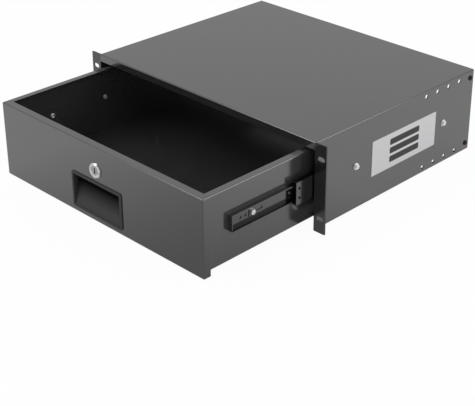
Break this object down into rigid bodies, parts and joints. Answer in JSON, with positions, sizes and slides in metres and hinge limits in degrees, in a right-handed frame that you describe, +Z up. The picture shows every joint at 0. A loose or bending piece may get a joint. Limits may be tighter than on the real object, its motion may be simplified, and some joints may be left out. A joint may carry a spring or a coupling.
{
  "type": "lockable sliding rack drawer",
  "caption": "Lockable steel drawer on ball-bearing slides in a case with slotted rack ears, standing part way open, with a recessed pull and a cam lock.",
  "frame": {"origin": "centre of the rectangle of four rack slots, on the front face of the ears", "axes": "+X across the rack to the right as seen from the front, +Y from the front to the rear, +Z up"},
  "size_m": [0.4826, 0.5476, 0.132],
  "materials": {
    "black_powder_coat": "satin black powder coat with a very fine grain",
    "black_slide_steel": "glossy black electro-coat",
    "cage_steel": "pressed strip steel",
    "ball_steel": "polished bearing steel",
    "black_screw_steel": "blackened steel",
    "zinc_steel": "bright zinc plating",
    "brushed_plate": "brushed along its length",
    "pull_plastic": "fine matt moulded black",
    "bumper_plastic": "plain moulded black",
    "lock_chrome": "bright nickel plating",
    "key_plastic": "glossy moulded black",
    "key_metal": "bright nickel plating"
  },
  "bodies": {
    "case": {"case_shell": "black_powder_coat", "left_ear": "black_powder_coat", "right_ear": "black_powder_coat", "rear_top_rail": "black_powder_coat", "rear_bottom_rail": "black_powder_coat", "rear_rail_screws": "black_screw_steel", "side_plate": "brushed_plate", "left_cabinet_member": "black_slide_steel", "right_cabinet_member": "black_slide_steel", "case_slide_screws": "zinc_steel", "case_slide_nuts": "zinc_steel", "left_bumper": "bumper_plastic", "right_bumper": "bumper_plastic"},
    "drawer": {"drawer_tray": "black_powder_coat", "drawer_front": "black_powder_coat", "recessed_pull": "pull_plastic", "lock_housing": "lock_chrome", "lock_nut": "lock_chrome", "left_drawer_member": "black_slide_steel", "right_drawer_member": "black_slide_steel", "drawer_slide_screws": "zinc_steel", "drawer_slide_nuts": "zinc_steel", "key_heads": "key_plastic", "key_blades": "key_metal", "key_ring": "key_metal"},
    "lock_cylinder": {"lock_plug": "lock_chrome", "lock_cam": "lock_chrome", "cam_screw": "zinc_steel"},
    "left_middle_body": {"left_middle_member": "black_slide_steel"},
    "left_outer_cage_body": {"left_outer_cage": "cage_steel", "left_outer_balls": "ball_steel"},
    "left_inner_cage_body": {"left_inner_cage": "cage_steel", "left_inner_balls": "ball_steel"},
    "right_middle_body": {"right_middle_member": "black_slide_steel"},
    "right_outer_cage_body": {"right_outer_cage": "cage_steel", "right_outer_balls": "ball_steel"},
    "right_inner_cage_body": {"right_inner_cage": "cage_steel", "right_inner_balls": "ball_steel"}
  },
  "joints": [
    {"name": "drawer_slide", "type": "slide", "parent": "case", "child": "drawer", "axis": [0, -1, 0], "range_m": [-0.19, 0.11]},
    {"name": "lock_turn", "type": "hinge", "parent": "drawer", "child": "lock_cylinder", "pos_m": [0, -0.19, 0.01475], "axis": [0, -1, 0], "range_deg": [0, 90]},
    {"name": "left_middle_slide", "type": "slide", "parent": "case", "child": "left_middle_body", "axis": [0, -1, 0], "range_m": [-0.095, 0.055]},
    {"name": "left_outer_cage_slide", "type": "slide", "parent": "case", "child": "left_outer_cage_body", "axis": [0, -1, 0], "range_m": [-0.0475, 0.0275]},
    {"name": "left_inner_cage_slide", "type": "slide", "parent": "case", "child": "left_inner_cage_body", "axis": [0, -1, 0], "range_m": [-0.1425, 0.0825]},
    {"name": "right_middle_slide", "type": "slide", "parent": "case", "child": "right_middle_body", "axis": [0, -1, 0], "range_m": [-0.095, 0.055]},
    {"name": "right_outer_cage_slide", "type": "slide", "parent": "case", "child": "right_outer_cage_body", "axis": [0, -1, 0], "range_m": [-0.0475, 0.0275]},
    {"name": "right_inner_cage_slide", "type": "slide", "parent": "case", "child": "right_inner_cage_body", "axis": [0, -1, 0], "range_m": [-0.1425, 0.0825]}
  ],
  "couplings": [
    {"joint": "left_middle_slide", "follows": "drawer_slide", "ratio": 0.5},
    {"joint": "left_outer_cage_slide", "follows": "drawer_slide", "ratio": 0.25},
    {"joint": "left_inner_cage_slide", "follows": "drawer_slide", "ratio": 0.75},
    {"joint": "right_middle_slide", "follows": "drawer_slide", "ratio": 0.5},
    {"joint": "right_outer_cage_slide", "follows": "drawer_slide", "ratio": 0.25},
    {"joint": "right_inner_cage_slide", "follows": "drawer_slide", "ratio": 0.75}
  ]
}
